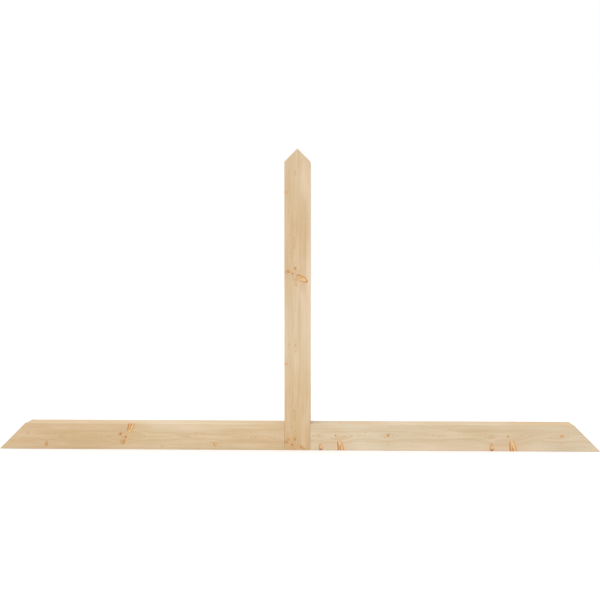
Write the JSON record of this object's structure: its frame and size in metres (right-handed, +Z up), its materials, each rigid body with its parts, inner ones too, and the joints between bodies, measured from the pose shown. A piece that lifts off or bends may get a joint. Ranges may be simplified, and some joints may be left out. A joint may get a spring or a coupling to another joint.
{
  "type": "timber gable bracket",
  "caption": "Open gable bracket of planed softwood timbers: a king post with a pointed top stands between tie arms that are mitred to the roof slope.",
  "frame": {"origin": "bottom centre of the bounding box, on the ground under the middle of the king post", "axes": "+X along the tie to the right, +Y from the front face back to the wall, +Z up the king post; the front faces -Y"},
  "size_m": [2.1336, 0.092, 1.0668],
  "materials": {
    "post_timber": "planed and sanded softwood, unfinished",
    "left_arm_timber": "planed and sanded softwood, unfinished",
    "right_arm_timber": "planed and sanded softwood, unfinished"
  },
  "bodies": {
    "root": {"king_post": "post_timber", "tie_arm_left": "left_arm_timber", "tie_arm_right": "right_arm_timber"}
  },
  "joints": []
}
